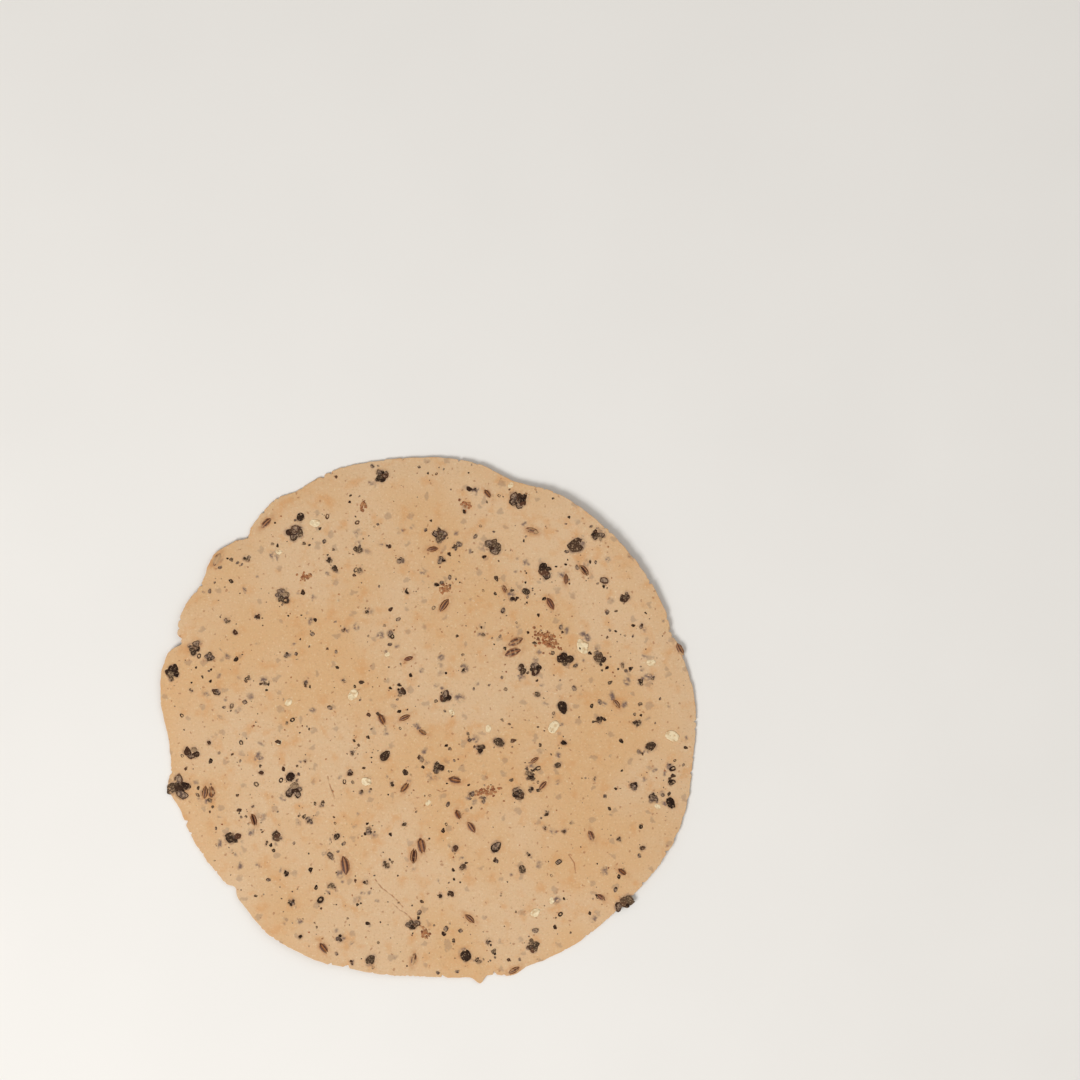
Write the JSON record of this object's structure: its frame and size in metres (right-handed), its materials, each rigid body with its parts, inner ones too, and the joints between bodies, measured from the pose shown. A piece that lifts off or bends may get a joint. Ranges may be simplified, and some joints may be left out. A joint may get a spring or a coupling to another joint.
{
  "type": "sindhi papadum",
  "caption": "Raw sun-dried lentil dough disc, thin and gently wavy with an uneven hand-rolled edge, studded with cracked black pepper, cumin seeds and pale chips.",
  "frame": {"origin": "under the middle of the bounding box, on the surface that the disc rests on", "axes": "+Z up, square to the disc; +Y is up and +X right in the picture, which looks straight down"},
  "size_m": [0.176, 0.172, 0.0031],
  "materials": {
    "dough": "dry satin lentil dough, pale tan with dark pepper, brown cumin and cream chips"
  },
  "bodies": {
    "root": {"papadum": "dough"}
  },
  "joints": []
}
